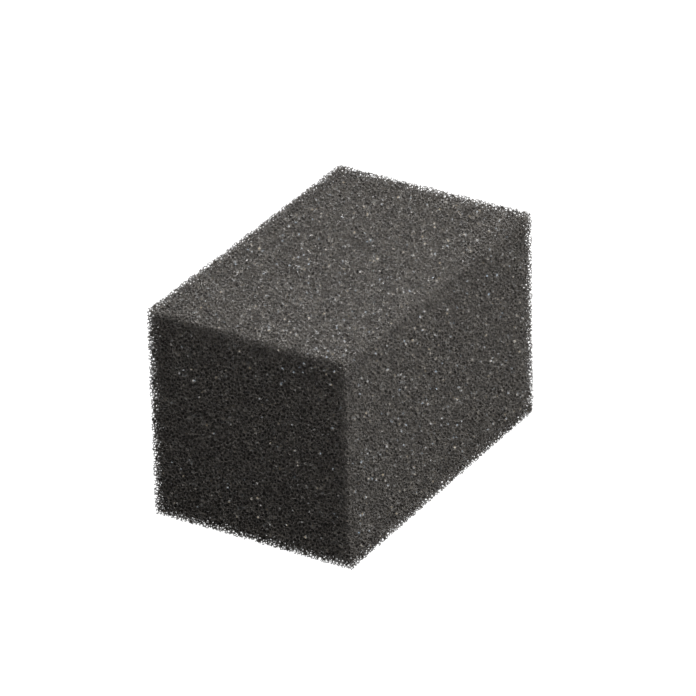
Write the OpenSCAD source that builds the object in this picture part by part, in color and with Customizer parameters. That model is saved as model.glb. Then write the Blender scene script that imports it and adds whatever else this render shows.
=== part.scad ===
// Block of open-cell filter foam for ponds and aquariums.
// It is one piece, cut square on all six sides, and stands on one of its long faces.
// X runs along the block, Y across it and Z up. The origin is the centre of the base.

/* [Block] */
// Length of the block, between its two end faces
block_length = 100; // [40:5:300]
// Width of the block, across its base
block_width = 60; // [30:5:200]
// Height of the block, from its base to its top face
block_height = 60; // [20:5:150]

/* [Foam] */
// Pore grade of the foam, in pores along an inch: fewer pores are coarser
pores_per_inch = 30; // [10:5:45]
// Share of a pore that breaks away along every cut edge
edge_wear = 0.4; // [0.1:0.1:1]

/* [Hidden] */
inch = 25.4;
pore_pitch = inch / pores_per_inch;
edge_break = pore_pitch * edge_wear;
foam_colour = "#3b3a38";

// A rectangle centred on the origin, with each corner cut back by the same amount
module broken_rectangle(size_x, size_y, cut) {
  x = size_x / 2;
  y = size_y / 2;
  polygon([
    [x, y - cut],
    [x - cut, y],
    [cut - x, y],
    [-x, y - cut],
    [-x, cut - y],
    [cut - x, -y],
    [x - cut, -y],
    [x, cut - y],
  ]);
}

// A bar of that section along Z, centred on the origin
module broken_bar(size_x, size_y, size_z) {
  translate([0, 0, -size_z / 2])
    linear_extrude(height = size_z)
      broken_rectangle(size_x, size_y, edge_break);
}

// Three crossed bars keep what they share: a cuboid with all twelve edges broken
module foam_block() {
  color(foam_colour)
    translate([0, 0, block_height / 2])
      intersection() {
        broken_bar(block_length, block_width, block_height);
        rotate([90, 0, 0])
          broken_bar(block_length, block_height, block_width);
        rotate([0, 90, 0])
          broken_bar(block_height, block_width, block_length);
      }
}

foam_block();
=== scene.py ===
import math
from itertools import combinations

import bpy
import numpy as np
from mathutils import Matrix, Vector, kdtree


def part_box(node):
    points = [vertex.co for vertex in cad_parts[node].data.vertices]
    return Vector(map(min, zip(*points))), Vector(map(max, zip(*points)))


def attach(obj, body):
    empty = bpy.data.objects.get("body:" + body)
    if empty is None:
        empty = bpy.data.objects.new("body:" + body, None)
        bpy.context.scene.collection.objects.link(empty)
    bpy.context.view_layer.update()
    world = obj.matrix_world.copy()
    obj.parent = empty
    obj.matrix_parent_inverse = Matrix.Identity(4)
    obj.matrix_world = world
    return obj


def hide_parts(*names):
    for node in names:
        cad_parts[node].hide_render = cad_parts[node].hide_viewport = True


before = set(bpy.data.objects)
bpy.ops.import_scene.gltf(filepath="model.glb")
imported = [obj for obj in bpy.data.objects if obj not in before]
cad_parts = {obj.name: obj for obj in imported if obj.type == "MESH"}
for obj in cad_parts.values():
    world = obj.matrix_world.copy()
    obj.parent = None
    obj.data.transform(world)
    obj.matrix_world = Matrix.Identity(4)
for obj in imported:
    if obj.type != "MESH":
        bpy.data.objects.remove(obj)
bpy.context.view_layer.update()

# A block of open-cell filter foam. Its outer cells are modelled strut by strut: seeds are spread
# evenly through the block's skin, and each takes the space nearest to it as its cell. A window
# lies between two cells, a strut runs where three meet, and a corner is where four meet. Some of
# the windows near the surface keep their film. Under the skin lies a solid, rough heart that stands
# in for the deeper cells; its near-black colour is painted shade, the shade those cells lie in.
# Lengths are in metres, angles in degrees and powers in watts.

LOW, HIGH = (np.array(c, float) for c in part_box("foam_block"))
CENTRE = (LOW + HIGH) / 2
HALF = (HIGH - LOW) / 2
SEED = 7

PITCH = 0.00103

# How deep the skin goes on the faces, the rounding of the heart's edges, and the heart's surface
SKIN = 1.28 * PITCH
HEART_ROUND = 4.6 * PITCH
HEART_BUMPS = 0.15 * PITCH
HEART_GRID = 0.0008
SAME_PLACE = 1e-7

# How far the top stands off square over the base
LEAN = np.array([0.0007, 0.0020, 0])

# Seeds lie up to this far beyond the block's faces and below the heart's surface
MARGIN_OUT = 1.5 * PITCH
MARGIN_IN = 1.6 * PITCH

# The seeds' first grid is turned by these angles in radians, then each seed is moved at random
GRID_AXIS = (0.3, 0.8, 0.5)
GRID_TURN = 0.7
GRID_TILT = 1.1
JITTER = 0.30 * PITCH

# Each seed is then pushed away from those within reach, several times for each list of neighbours
PUSH_LISTS = 2
PUSHES = 4
PUSH_NEAREST = 14
PUSH_REACH = 1.15 * PITCH
PUSH_SHARE = 0.22

# A corner's four seeds are sought among a seed's nearest, and lie closer to it than this
NEAREST = 26
WIDEST_CELL = 1.02 * PITCH
FLAT_GROUP = 1e-6 * PITCH ** 3
TRIOS_AT_ONCE = 400_000
SEED_BITS = 20

# How often corners are evened out, and how far each time
EVEN_ROUNDS = 4
EVEN_SHARE = 0.5

# How thick the foam is at a corner, how much that varies, and the limits of the angles in it
NODE_SIZE = 0.10 * PITCH
SIZE_SPREAD = 0.12
LEAST_COSINE = 0.05
MOST_COSINE = 0.86

# How far a cut strut may end short of the block's face, and the least share of it that is left
CUT_DEPTH = 0.12 * PITCH
LEAST_SHARE = 0.04

# The share of the windows near the surface that kept their film, the smaller share near the
# block's edges, how deep such windows lie, and half the film's thickness
FILM_SHARE = 0.32
EDGE_FILM_SHARE = 0.08
EDGE_ZONE = 3 * PITCH
FILM_DEPTH = 0.9 * PITCH
FILM_HALF = 0.012 * PITCH
MOST_SIDES = 9

# The most triangles in one slice of the foam. The export keeps a piece's mesh as it is
# up to 200,000 triangles
SLICE_TRIANGLES = 190_000

# The camera's direction; its distance and the picture's width, in heights of the block; and how
# far it is moved sideways and up, to set the block in the picture
VIEW_AZIMUTH = -60.05
VIEW_ELEVATION = 27.8
VIEW_DISTANCE = 24
VIEW_WIDTH = 3.09
AIM_RIGHT = 0.0008
AIM_UP = 0.0037

# The floor, and the room's light on the foam
FLOOR_SIZE = 6
FLOOR_GAP = 0.0001
FLOOR_GREY = 0.10
ROOM_LIGHT = 0.20

# The soft lights: name, azimuth, elevation, distance, size and power
SOFT_LIGHTS = (
    ("key", -29, 60, 0.38, 0.42, 4.1),
    ("front_fill", 10, 20, 0.50, 0.60, 3.5),
    ("left_back", -135, 35, 0.80, 0.35, 0.85),
    ("left_fill", -80, 15, 0.50, 0.35, 0.15),
)

# The row of small lamps behind the block: where each stands, as azimuth and elevation
BACK_LAMPS = ((108, 50), (122, 38), (136, 50), (150, 38), (164, 50), (178, 38))
BACK_DISTANCE = 0.80
BACK_SIZE = 0.055
BACK_POWER = 0.8

# A corner's four seeds are numbered 0 to 3 in rising order. Two of them (PAIRS) share a window,
# and three of them (FACES) share a strut. Then: the three pairs in each face, the two faces that
# hold each pair, and the three pairs that hold each seed.
PAIRS = list(combinations(range(4), 2))
FACES = list(combinations(range(4), 3))
FACE_PAIRS = np.array([[PAIRS.index(p) for p in combinations(f, 2)] for f in FACES])
PAIR_FACES = np.array([[i for i, f in enumerate(FACES) if set(p) <= set(f)] for p in PAIRS])
STAR_PAIRS = np.array([[i for i, p in enumerate(PAIRS) if s in p] for s in range(4)])


def depth_of(points):
    """How deep each point lies under the block's surface: negative outside it."""
    return (HALF - np.abs(points - CENTRE)).min(1)


def above_heart(points):
    """How far each point is above the heart, a rounded box: negative inside it."""
    flat = HALF - SKIN - HEART_ROUND
    q = np.abs(points - CENTRE) - flat
    outside = np.linalg.norm(np.maximum(q, 0), axis=1)
    return outside + np.minimum(q.max(1), 0) - HEART_ROUND


def in_skin(seeds, extra):
    """Which seeds lie in the skin or its margins, widened by an extra length."""
    return (depth_of(seeds) > -MARGIN_OUT - extra) & (above_heart(seeds) > -MARGIN_IN - extra)


def nearest(points, count):
    """The numbers of the points nearest to each point, itself left out."""
    tree = kdtree.KDTree(len(points))
    for i, p in enumerate(points):
        tree.insert(p, i)
    tree.balance()
    found = [[hit[1] for hit in tree.find_n(p, count + 1)] for p in points]
    return np.array(found)[:, 1:]


def scattered_seeds(rng):
    """One seed for each cell, spread at random but evenly through the skin and its margins."""
    side = PITCH * 2 ** (1 / 3)
    reach = np.linalg.norm(HALF) + side
    n = int(math.ceil(reach / side))
    steps = np.arange(-n, n + 1) * side
    grid = np.stack(np.meshgrid(steps, steps, steps, indexing="ij"), -1).reshape(-1, 3)
    grid = np.concatenate([grid, grid + side / 2])
    turn = Matrix.Rotation(GRID_TURN, 3, Vector(GRID_AXIS)) @ Matrix.Rotation(GRID_TILT, 3, "X")
    seeds = grid @ np.array(turn).T + CENTRE
    seeds = seeds[in_skin(seeds, PITCH)]
    seeds = seeds + rng.normal(0, JITTER, seeds.shape)
    seeds = seeds[in_skin(seeds, 0)]
    for _ in range(PUSH_LISTS):
        near = nearest(seeds, PUSH_NEAREST)
        for _ in range(PUSHES):
            seeds = pushed_apart(seeds, near)
    return seeds


def pushed_apart(seeds, near):
    """Moves each seed away from the neighbours that are too close to it."""
    away = seeds[:, None] - seeds[near]
    far = np.linalg.norm(away, axis=2, keepdims=True)
    push = np.maximum(PUSH_REACH - far, 0) / far
    return seeds + PUSH_SHARE * (away * push).sum(1)


def cell_corners(seeds):
    """Where four cells meet: each corner's place, and its four seeds in rising order."""
    near = nearest(seeds, NEAREST)
    higher = near > np.arange(len(seeds))[:, None]
    order = np.argsort(~higher, axis=1, kind="stable")
    ranked = np.take_along_axis(near, order, 1)
    counts = higher.sum(1)
    places, groups = [], []
    for count in range(3, NEAREST + 1):
        rows = np.flatnonzero(counts == count)
        trios = np.array(list(combinations(range(count), 3)))
        duos = np.array(list(combinations(range(count), 2)))
        duo_of = np.zeros((count, count), int)
        duo_of[duos[:, 0], duos[:, 1]] = np.arange(len(duos))
        batch = max(1, TRIOS_AT_ONCE // len(trios))
        for start in range(0, len(rows), batch):
            part = rows[start:start + batch]
            where, group = empty_spheres(seeds, near, ranked, part, count, trios, duos, duo_of)
            places.append(where)
            groups.append(group)
    return np.concatenate(places), np.sort(np.concatenate(groups), axis=1)


def empty_spheres(seeds, near, ranked, part, count, trios, duos, duo_of):
    """The spheres through a seed and three of its higher neighbours that hold no other seed."""
    arms = seeds[ranked[part, :count]] - seeds[part][:, None]
    squares = (arms ** 2).sum(2)
    crosses = np.cross(arms[:, duos[:, 0]], arms[:, duos[:, 1]])
    a, b, c = trios.T
    bc, ac, ab = crosses[:, duo_of[b, c]], crosses[:, duo_of[a, c]], crosses[:, duo_of[a, b]]
    volume = 2 * (arms[:, a] * bc).sum(2)
    volume[np.abs(volume) < FLAT_GROUP] = np.inf
    middle = squares[:, a, None] * bc - squares[:, b, None] * ac + squares[:, c, None] * ab
    middle /= volume[:, :, None]
    radius2 = (middle ** 2).sum(2)
    row, trio = np.nonzero((radius2 < WIDEST_CELL ** 2) & (radius2 > 0))
    middle, radius2 = middle[row, trio], radius2[row, trio]
    others = seeds[near[part]] - seeds[part][:, None]
    free = np.ones(len(row), bool)
    for other in range(NEAREST):
        gap = ((others[row, other] - middle) ** 2).sum(1)
        free &= gap > radius2 * (1 - 1e-9)
    row, trio, middle = row[free], trio[free], middle[free]
    group = np.column_stack([part[row], np.take_along_axis(ranked[part[row]], trios[trio], 1)])
    return middle + seeds[part[row]], group


def struts_between(groups):
    """Each strut joins two corners that share three seeds: (corner, its face) at both ends."""
    keys = np.stack([(groups[:, a] << 2 * SEED_BITS) + (groups[:, b] << SEED_BITS) + groups[:, c]
                     for a, b, c in FACES], 1).ravel()
    order = np.argsort(keys, kind="stable")
    ranked = keys[order]
    same = np.concatenate([[False], ranked[1:] == ranked[:-1], [False]])
    twin = np.flatnonzero(same[1:-1] & ~same[:-2] & ~same[2:])
    first, second = order[twin], order[twin + 1]
    return first // 4, first % 4, second // 4, second % 4


def evened(places, starts, ends):
    """Surface tension leaves no very short struts: each whole corner moves towards its neighbours."""
    met = np.bincount(starts, minlength=len(places)) + np.bincount(ends, minlength=len(places))
    whole = met == 4
    for _ in range(EVEN_ROUNDS):
        total = np.zeros_like(places)
        for axis in range(3):
            total[:, axis] = (
                np.bincount(starts, places[ends, axis], len(places))
                + np.bincount(ends, places[starts, axis], len(places))
            )
        middle = total / np.maximum(met, 1)[:, None]
        places = np.where(whole[:, None], places + EVEN_SHARE * (middle - places), places)
    return places


def strut_ways(places, starts, start_face, ends, end_face):
    """The direction of each corner's four struts; a missing one points away from the rest."""
    far = np.full((len(places), 4, 3), np.nan)
    far[starts, start_face] = places[ends]
    far[ends, end_face] = places[starts]
    way = far - places[:, None]
    way /= np.linalg.norm(way, axis=2, keepdims=True)
    rest = -np.nansum(way, axis=1, keepdims=True)
    rest = rest / np.maximum(np.linalg.norm(rest, axis=2, keepdims=True), 1e-9)
    return np.where(np.isnan(way), rest, way)


def node_points(places, ways, sizes):
    """Six points round each corner, one in each window between two of its struts."""
    both = ways[:, PAIR_FACES[:, 0]] + ways[:, PAIR_FACES[:, 1]]
    cosine = np.clip(np.linalg.norm(both, axis=2, keepdims=True) / 2, LEAST_COSINE, 1)
    sine = np.sqrt(1 - np.minimum(cosine, MOST_COSINE) ** 2)
    return places[:, None] + sizes[:, None, None] * both / (2 * cosine) / sine


def share_inside(near_ring, far_ring, trim):
    """How much of each ridge of a strut lies inside the block, when its end is trimmed back."""
    limit = (HALF - trim)[:, None]
    run = far_ring - near_ring
    run = np.where(np.abs(run) < 1e-12, 1e-12, run)
    shares = (np.sign(run) * limit - (near_ring - CENTRE)) / run
    return np.clip(shares.min(2), LEAST_SHARE, 1)[:, :, None]


def facing(points, triangles, inner):
    """Turns the triangles that face towards their inner points."""
    a, b, c = (points[triangles[:, i]] for i in range(3))
    wrong = (np.cross(b - a, c - a) * (a + b + c - 3 * inner)).sum(1) < 0
    triangles[wrong] = triangles[wrong][:, ::-1]
    return triangles


def foam_skin(rng):
    """The skin's struts and its films, each as a mesh for in_slices."""
    seeds = scattered_seeds(rng)
    places, groups = cell_corners(seeds)
    starts, start_face, ends, end_face = struts_between(groups)
    places = evened(places, starts, ends)
    ways = strut_ways(places, starts, start_face, ends, end_face)
    sizes = NODE_SIZE * np.exp(rng.normal(0, SIZE_SPREAD, len(places)))
    kept = kept_corners(places, starts, ends)
    parts = Parts(places, node_points(places, ways, sizes), kept)
    add_corners(parts, starts, start_face, ends, end_face)
    add_whole_struts(parts, starts, start_face, ends, end_face)
    add_cut_struts(parts, starts, start_face, ends, end_face, rng)
    return parts.mesh(), films(rng, seeds, places, groups, kept)


def kept_corners(places, starts, ends):
    """Which corners lie in the skin and are joined to at least two others that do."""
    kept = (depth_of(places) > 0) & (above_heart(places) > 0)
    touching = np.bincount(starts[kept[ends]], minlength=len(places))
    touching += np.bincount(ends[kept[starts]], minlength=len(places))
    return kept & (touching > 1)


def add_corners(parts, starts, start_face, ends, end_face):
    """The faces of each corner that look into its four cells, and those that no strut leaves by."""
    home = np.flatnonzero(parts.kept)
    stars = parts.first_point[home][:, None, None] + STAR_PAIRS
    parts.add(stars.reshape(-1, 3), np.repeat(parts.places[home], 4, axis=0), np.repeat(home, 4))
    used = np.zeros((len(parts.places), 4), bool)
    used[starts, start_face] = True
    used[ends, end_face] = True
    bare, face = np.nonzero(parts.kept[:, None] & ~used)
    parts.add(parts.ring(bare, face), parts.places[bare], bare)


def add_whole_struts(parts, starts, start_face, ends, end_face):
    """The struts between two corners of the skin."""
    whole = parts.kept[starts] & parts.kept[ends]
    v, w = starts[whole], ends[whole]
    axis = (parts.places[v] + parts.places[w]) / 2
    parts.add_prism(parts.ring(v, start_face[whole]), parts.ring(w, end_face[whole]), axis, v)


def add_cut_struts(parts, starts, start_face, ends, end_face, rng):
    """The struts that leave the block, cut flat near its face, and those that enter the heart."""
    cut = parts.kept[starts] ^ parts.kept[ends]
    swap = parts.kept[ends[cut]]
    v = np.where(swap, ends[cut], starts[cut])
    w = np.where(swap, starts[cut], ends[cut])
    v_face = np.where(swap, end_face[cut], start_face[cut])
    w_face = np.where(swap, start_face[cut], end_face[cut])
    near_at = parts.around[v[:, None], FACE_PAIRS[v_face]]
    far_at = parts.around[w[:, None], FACE_PAIRS[w_face]]
    share = share_inside(near_at, far_at, rng.uniform(0, CUT_DEPTH, (len(v), 1)))
    tips = parts.add_points(near_at + share * (far_at - near_at))
    axis = parts.places[v] + share.mean(1) / 2 * (parts.places[w] - parts.places[v])
    parts.add_prism(parts.ring(v, v_face), tips, axis, v)
    parts.add(tips, parts.places[v], v, flat=True)


class Parts:
    """Collects the struts' points and triangles. Each triangle comes with a point inside the
    foam, the corner it belongs to, and whether it is flat."""

    def __init__(self, places, around, kept):
        self.places, self.around, self.kept = places, around, kept
        self.first_point = 6 * (np.cumsum(kept) - 1)
        self.points = [around[kept].reshape(-1, 3)]
        self.count = len(self.points[0])
        self.triangles, self.inner, self.owner, self.flat = [], [], [], []

    def ring(self, corner, face):
        """The three points of a corner that a strut leaves from by one of its faces."""
        return self.first_point[corner][:, None] + FACE_PAIRS[face]

    def add_points(self, rings):
        numbers = self.count + np.arange(3 * len(rings)).reshape(-1, 3)
        self.points.append(rings.reshape(-1, 3))
        self.count += 3 * len(rings)
        return numbers

    def add(self, triangles, inner, owner, flat=False):
        self.triangles.append(triangles)
        self.inner.append(inner)
        self.owner.append(owner)
        self.flat.append(np.full(len(triangles), flat))

    def add_prism(self, near, far, axis, owner):
        for i, j in ((0, 1), (1, 2), (2, 0)):
            self.add(np.stack([near[:, i], near[:, j], far[:, j]], 1), axis, owner)
            self.add(np.stack([near[:, i], far[:, j], far[:, i]], 1), axis, owner)

    def mesh(self):
        """Points, triangles, which triangles are flat, and where along the block each belongs."""
        points = np.clip(np.concatenate(self.points), LOW, HIGH)
        triangles = facing(points, np.concatenate(self.triangles), np.concatenate(self.inner))
        at = self.places[np.concatenate(self.owner), 0]
        return points, triangles, np.concatenate(self.flat), at


def films(rng, seeds, places, groups, kept):
    """Thin panes over some of the windows near the surface, each as a very flat double pyramid."""
    keys = np.stack([(groups[:, a] << SEED_BITS) + groups[:, b] for a, b in PAIRS], 1).ravel()
    order = np.argsort(keys, kind="stable")
    windows, first, count = np.unique(keys[order], return_index=True, return_counts=True)
    corner = np.repeat(np.arange(len(places)), len(PAIRS))[order]
    lost = np.add.reduceat(~kept[corner], first)
    middle = np.add.reduceat(places[corner], first) / count[:, None]
    depths = np.sort(HALF - np.abs(middle - CENTRE), axis=1)
    share = np.where(depths[:, 1] < EDGE_ZONE, EDGE_FILM_SHARE, FILM_SHARE)
    chosen = (lost == 0) & (depths[:, 0] < FILM_DEPTH) & (rng.random(len(windows)) < share)
    points, triangles, at, total = [], [], [], 0
    for sides in range(3, MOST_SIDES + 1):
        rows = np.flatnonzero(chosen & (count == sides))
        rings = corner[first[rows][:, None] + np.arange(sides)]
        axis = seeds[windows[rows] % (1 << SEED_BITS)] - seeds[windows[rows] >> SEED_BITS]
        axis /= np.linalg.norm(axis, axis=1, keepdims=True)
        rings = in_turn(rings, places, middle[rows], axis)
        above, below = (middle[rows] + side * FILM_HALF * axis for side in (1, -1))
        own = np.concatenate([places[rings], above[:, None], below[:, None]], 1)
        points.append(own.reshape(-1, 3))
        start = total + (sides + 2) * np.arange(len(rows))[:, None]
        for i in range(sides):
            j = (i + 1) % sides
            triangles += [start + [i, j, sides], start + [j, i, sides + 1]]
            at += [middle[rows, 0], middle[rows, 0]]
        total += own.shape[0] * own.shape[1]
    triangles = np.concatenate(triangles)
    return np.concatenate(points), triangles, np.ones(len(triangles), bool), np.concatenate(at)


def in_turn(rings, places, middle, axis):
    """Each window's corners, in their order round its axis."""
    arms = places[rings] - middle[:, None]
    across = np.cross(axis, arms[:, 0])
    turn = np.arctan2((arms * across[:, None]).sum(2), (arms * arms[:, :1]).sum(2))
    return np.take_along_axis(rings, np.argsort(turn, axis=1), 1)


def leaning(points):
    """The block as it was cut, a little off square."""
    return points + LEAN * ((points[:, 2:] - CENTRE[2]) / (HIGH[2] - LOW[2]))


def mesh_object(name, points, triangles, flat=None):
    """A mesh of triangles, smooth except where flat is true."""
    points = leaning(points)
    mesh = bpy.data.meshes.new(name)
    mesh.vertices.add(len(points))
    mesh.vertices.foreach_set("co", np.ascontiguousarray(points, np.float32).ravel())
    mesh.loops.add(3 * len(triangles))
    mesh.loops.foreach_set("vertex_index", np.ascontiguousarray(triangles, np.int32).ravel())
    mesh.polygons.add(len(triangles))
    mesh.polygons.foreach_set("loop_start", 3 * np.arange(len(triangles), dtype=np.int32))
    smooth = np.ones(len(triangles), bool) if flat is None else ~flat
    mesh.polygons.foreach_set("use_smooth", smooth)
    mesh.update(calc_edges=True)
    mesh.validate()
    thing = bpy.data.objects.new(name, mesh)
    bpy.context.scene.collection.objects.link(thing)
    return thing


def foam_piece(piece, material):
    """Makes a mesh a piece of the foam block."""
    piece.data.materials.append(material)
    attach(piece, "root")
    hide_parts("foam_block")


def in_slices(name, mesh, material):
    """A mesh, cut along the block's length into pieces with about the same number of triangles."""
    points, triangles, flat, at = mesh
    count = int(math.ceil(len(triangles) / SLICE_TRIANGLES))
    for number, part in enumerate(np.array_split(np.argsort(at, kind="stable"), count), 1):
        used, own = np.unique(triangles[part], return_inverse=True)
        piece = mesh_object(f"{name}_{number:02d}", points[used], own.reshape(-1, 3), flat[part])
        foam_piece(piece, material)


def box_grid(half):
    """The surface of a box as a grid of triangles, with its sides joined at the box's edges."""
    sheets, faces, count = [], [], 0
    for axis in range(3):
        u, v = [i for i in range(3) if i != axis]
        nu, nv = (max(2, int(round(2 * half[i] / HEART_GRID))) for i in (u, v))
        for side in (-1, 1):
            grid = np.zeros((nu + 1, nv + 1, 3))
            grid[..., u] = np.linspace(-half[u], half[u], nu + 1)[:, None]
            grid[..., v] = np.linspace(-half[v], half[v], nv + 1)[None, :]
            grid[..., axis] = side * half[axis]
            sheets.append(grid.reshape(-1, 3))
            index = count + np.arange((nu + 1) * (nv + 1)).reshape(nu + 1, nv + 1)
            a, b, c, d = index[:-1, :-1], index[1:, :-1], index[1:, 1:], index[:-1, 1:]
            faces += [np.stack([a, b, c], -1).reshape(-1, 3), np.stack([a, c, d], -1).reshape(-1, 3)]
            count += (nu + 1) * (nv + 1)
    points, faces = np.concatenate(sheets), np.concatenate(faces)
    keys = np.round(points / SAME_PLACE).astype(np.int64)
    _, first, same = np.unique(keys, axis=0, return_index=True, return_inverse=True)
    return points[first], same.ravel()[faces]


def foam_heart(material, rng):
    """The solid inside, standing in for the deeper cells: a box with rounded edges and a slightly rough
    surface, coloured with painted shade.
    """
    half = HALF - SKIN
    points, faces = box_grid(half)
    flat = half - HEART_ROUND
    inner = np.clip(points, -flat, flat)
    out = points - inner
    radius = HEART_ROUND + HEART_BUMPS * rng.random((len(out), 1))
    points = CENTRE + inner + radius * out / np.linalg.norm(out, axis=1, keepdims=True)
    faces = facing(points, faces, np.repeat(CENTRE[None], len(faces), axis=0))
    foam_piece(mesh_object("foam_heart", points, faces), material)


def node_material(name):
    """A new material, with its node tree and its shader."""
    material = bpy.data.materials.new(name)
    material.use_nodes = True
    tree = material.node_tree
    return material, tree, tree.nodes["Principled BSDF"]


def texture(tree, kind, scale):
    """A texture node laid through the piece by its own coordinates."""
    place = tree.nodes.new("ShaderNodeTexCoord")
    node = tree.nodes.new(kind)
    node.inputs["Scale"].default_value = scale
    tree.links.new(place.outputs["Object"], node.inputs["Vector"])
    return node


def coloured(tree, value, target, *stops):
    """Turns a value into a colour by stops, each a position and a colour."""
    node = tree.nodes.new("ShaderNodeValToRGB")
    elements = node.color_ramp.elements
    for number, (position, colour) in enumerate((stops[0], stops[-1])):
        elements[number].position = position
        elements[number].color = (*colour, 1)
    for position, colour in stops[1:-1]:
        elements.new(position).color = (*colour, 1)
    tree.links.new(value, node.inputs["Fac"])
    tree.links.new(node.outputs["Color"], target)


def ranged(tree, value, target, low, high):
    """Spreads a value between 0 and 1 over the range from low to high."""
    node = tree.nodes.new("ShaderNodeMapRange")
    node.inputs["To Min"].default_value = low
    node.inputs["To Max"].default_value = high
    tree.links.new(value, node.inputs["Value"])
    tree.links.new(node.outputs["Result"], target)


def foam_material():
    """Charcoal foam: its grey varies softly over the block, and some struts are glossier than others."""
    material, tree, shader = node_material("charcoal_foam")
    noise = texture(tree, "ShaderNodeTexNoise", 0.35 / PITCH)
    noise.inputs["Detail"].default_value = 3.0
    coloured(tree, noise.outputs["Fac"], shader.inputs["Base Color"],
             (0.35, (0.030, 0.0265, 0.0235)), (0.65, (0.056, 0.0505, 0.0445)))
    each = texture(tree, "ShaderNodeTexVoronoi", 2.5 / PITCH)
    ranged(tree, each.outputs["Color"], shader.inputs["Roughness"], 0.12, 0.42)
    return material


def film_material():
    """The glossy films left in some windows, whose glints are faintly blue or amber."""
    material, tree, shader = node_material("window_film")
    shader.inputs["Specular IOR Level"].default_value = 0.55
    noise = texture(tree, "ShaderNodeTexNoise", 1.5 / PITCH)
    coloured(tree, noise.outputs["Fac"], shader.inputs["Base Color"],
             (0, (0.020, 0.018, 0.016)), (1, (0.045, 0.042, 0.038)))
    coloured(tree, noise.outputs["Fac"], shader.inputs["Specular Tint"],
             (0.35, (0.60, 0.80, 1.0)), (0.5, (1, 1, 1)), (0.65, (1.0, 0.80, 0.50)))
    ranged(tree, noise.outputs["Fac"], shader.inputs["Roughness"], 0.08, 0.44)
    return material


def painted_shade_heart_material():
    """Painted shade for the deeper cells the heart stands in for: near-black inside each cell, and
    lighter, near the foam's own grey, along the borders between them.
    """
    material, tree, shader = node_material("deep_foam_painted_shade")
    shader.inputs["Roughness"].default_value = 0.8
    shader.inputs["Specular IOR Level"].default_value = 0.15
    web = texture(tree, "ShaderNodeTexVoronoi", 1 / PITCH)
    web.feature = "DISTANCE_TO_EDGE"
    # Painted shade: each cell's middle near-black, its borders near the foam's own grey
    coloured(tree, web.outputs["Distance"], shader.inputs["Base Color"],
             (0.02, (0.044, 0.040, 0.036)), (0.16, (0.014, 0.013, 0.012)))
    return material


def floor_material():
    """Pale floor that the camera sees nearly white, with a faint shadow, as in a light box."""
    material, tree, shader = node_material("pale_floor")
    shader.inputs["Base Color"].default_value = (FLOOR_GREY, FLOOR_GREY, FLOOR_GREY, 1)
    shader.inputs["Roughness"].default_value = 0.9
    shader.inputs["Specular IOR Level"].default_value = 0.0
    path = tree.nodes.new("ShaderNodeLightPath")
    shader.inputs["Emission Color"].default_value = (1, 1, 1, 1)
    tree.links.new(path.outputs["Is Camera Ray"], shader.inputs["Emission Strength"])
    return material


def stage():
    """The floor, and a room that looks white and lights the foam dimly."""
    below = (CENTRE[0], CENTRE[1], LOW[2] - FLOOR_GAP)
    bpy.ops.mesh.primitive_plane_add(size=FLOOR_SIZE, location=below)
    floor = bpy.context.object
    floor.name = "floor"
    floor.data.materials.append(floor_material())
    world = bpy.data.worlds.new("studio")
    bpy.context.scene.world = world
    world.use_nodes = True
    tree = world.node_tree
    back = tree.nodes["Background"]
    back.inputs["Color"].default_value = (1, 1, 1, 1)
    path = tree.nodes.new("ShaderNodeLightPath")
    ranged(tree, path.outputs["Is Camera Ray"], back.inputs["Strength"], ROOM_LIGHT, 1.0)


def aimed(thing, place, target):
    """Puts a light or a camera at a place, turned to a target."""
    thing.location = place
    thing.rotation_euler = (Vector(target) - Vector(place)).to_track_quat("-Z", "Y").to_euler()
    bpy.context.scene.collection.objects.link(thing)
    return thing


def from_angle(azimuth, elevation, distance):
    """A place at an angle from the block's centre: azimuth 0 is in front, 90 on the right."""
    a, e = math.radians(azimuth), math.radians(elevation)
    way = Vector((math.sin(a) * math.cos(e), -math.cos(a) * math.cos(e), math.sin(e)))
    return Vector(CENTRE) + way * distance


def soft_light(name, azimuth, elevation, distance, size, power):
    """A round light aimed at the block, which the camera doesn't see."""
    lamp = bpy.data.lights.new(name, "AREA")
    lamp.shape = "DISK"
    lamp.size = size
    lamp.energy = power
    thing = aimed(bpy.data.objects.new(name, lamp), from_angle(azimuth, elevation, distance), CENTRE)
    thing.visible_camera = False


def lights():
    """The soft lights, and the small lamps that make the top glint."""
    for light in SOFT_LIGHTS:
        soft_light(*light)
    for azimuth, elevation in BACK_LAMPS:
        soft_light("back", azimuth, elevation, BACK_DISTANCE, BACK_SIZE, BACK_POWER)


def camera():
    """A long lens, looking down on the block's front left edge."""
    view = bpy.data.cameras.new("camera")
    view.sensor_width = 36
    distance = VIEW_DISTANCE * float(HIGH[2] - LOW[2])
    view.lens = view.sensor_width * VIEW_DISTANCE / VIEW_WIDTH
    view.clip_start, view.clip_end = 0.01, 20
    place = from_angle(VIEW_AZIMUTH, VIEW_ELEVATION, distance)
    forward = (Vector(CENTRE) - place).normalized()
    right = forward.cross(Vector((0, 0, 1))).normalized()
    up = right.cross(forward)
    shift = AIM_RIGHT * right + AIM_UP * up
    thing = aimed(bpy.data.objects.new("camera", view), place + shift, Vector(CENTRE) + shift)
    bpy.context.scene.camera = thing


rng = np.random.default_rng(SEED)
bpy.context.scene.view_settings.view_transform = "Standard"
camera()
stage()
lights()
struts, panes = foam_skin(rng)
in_slices("foam_slice", struts, foam_material())
in_slices("foam_films", panes, film_material())
foam_heart(painted_shade_heart_material(), rng)
